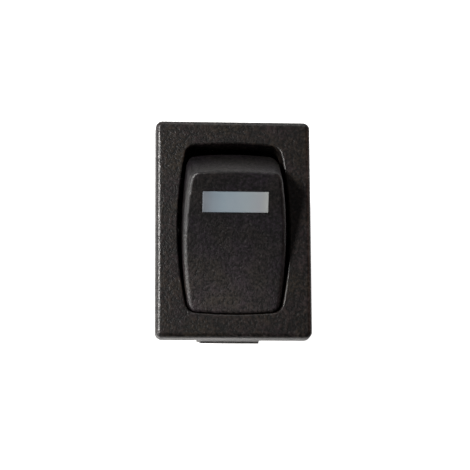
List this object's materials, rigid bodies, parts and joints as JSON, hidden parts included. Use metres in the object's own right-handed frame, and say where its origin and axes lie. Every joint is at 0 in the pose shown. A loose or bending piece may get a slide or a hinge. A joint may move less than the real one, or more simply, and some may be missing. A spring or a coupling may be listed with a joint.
{
  "type": "panel rocker switch",
  "caption": "Snap-in lighted rocker switch: rectangular bezel, dished rocker with a lens bar, body with snap tongues and blade terminals below.",
  "frame": {"origin": "middle of the bezel's seat, the plane that lies on the panel", "axes": "+Z out of the panel, +Y along the bezel towards the end with the lens, X across the bezel, along the rocker's pivot"},
  "size_m": [0.015, 0.0212, 0.0267],
  "materials": {
    "housing_plastic": "moulded, fine spark-eroded grain",
    "rocker_plastic": "moulded, finer grain than the bezel",
    "lens_plastic": "translucent, pale blue grey",
    "nylon": "natural nylon",
    "holder_plastic": "natural nylon",
    "spring_steel": "drawn wire",
    "plated_brass": "stamped strip",
    "silver": "silver alloy rivet",
    "terminal_metal": "stamped",
    "lamp_epoxy": "clear cast epoxy",
    "tinned_wire": "tinned wire",
    "resistor_body": "lacquered",
    "solder": "bright solder"
  },
  "bodies": {
    "base": {"housing": "housing_plastic", "load_contact": "silver", "supply_terminal": "terminal_metal", "load_terminal": "terminal_metal", "earth_terminal": "terminal_metal", "lamp_holder": "holder_plastic", "lamp": "lamp_epoxy", "anode_lead": "tinned_wire", "cathode_lead": "tinned_wire", "lead_splice": "tinned_wire", "resistor": "resistor_body", "resistor_lead": "tinned_wire", "load_solder": "solder", "earth_solder": "solder"},
    "rocker": {"rocker": "rocker_plastic", "lens": "lens_plastic", "plunger_spring": "spring_steel"},
    "plunger": {"plunger": "nylon"},
    "contact_arm": {"contact_arm": "plated_brass", "arm_contact": "silver"}
  },
  "joints": [
    {"name": "rocker_pivot", "type": "hinge", "parent": "base", "child": "rocker", "pos_m": [0, 0, -0.00205], "axis": [-1, 0, 0], "range_deg": [0, 32.8]},
    {"name": "contact_arm_tilt", "type": "hinge", "parent": "base", "child": "contact_arm", "pos_m": [0, 0, -0.0086], "axis": [1, 0, 0], "range_deg": [0, 16]},
    {"name": "plunger_slide", "type": "slide", "parent": "rocker", "child": "plunger", "axis": [0, -0.2823, 0.9593], "range_m": [0, 0.0008], "stiffness_N_per_m": 250, "springref_m": -0.0015, "deforming": ["plunger_spring"]}
  ],
  "couplings": [
    {"joint": "contact_arm_tilt", "follows": "rocker_pivot", "ratio": 0.4878}
  ]
}
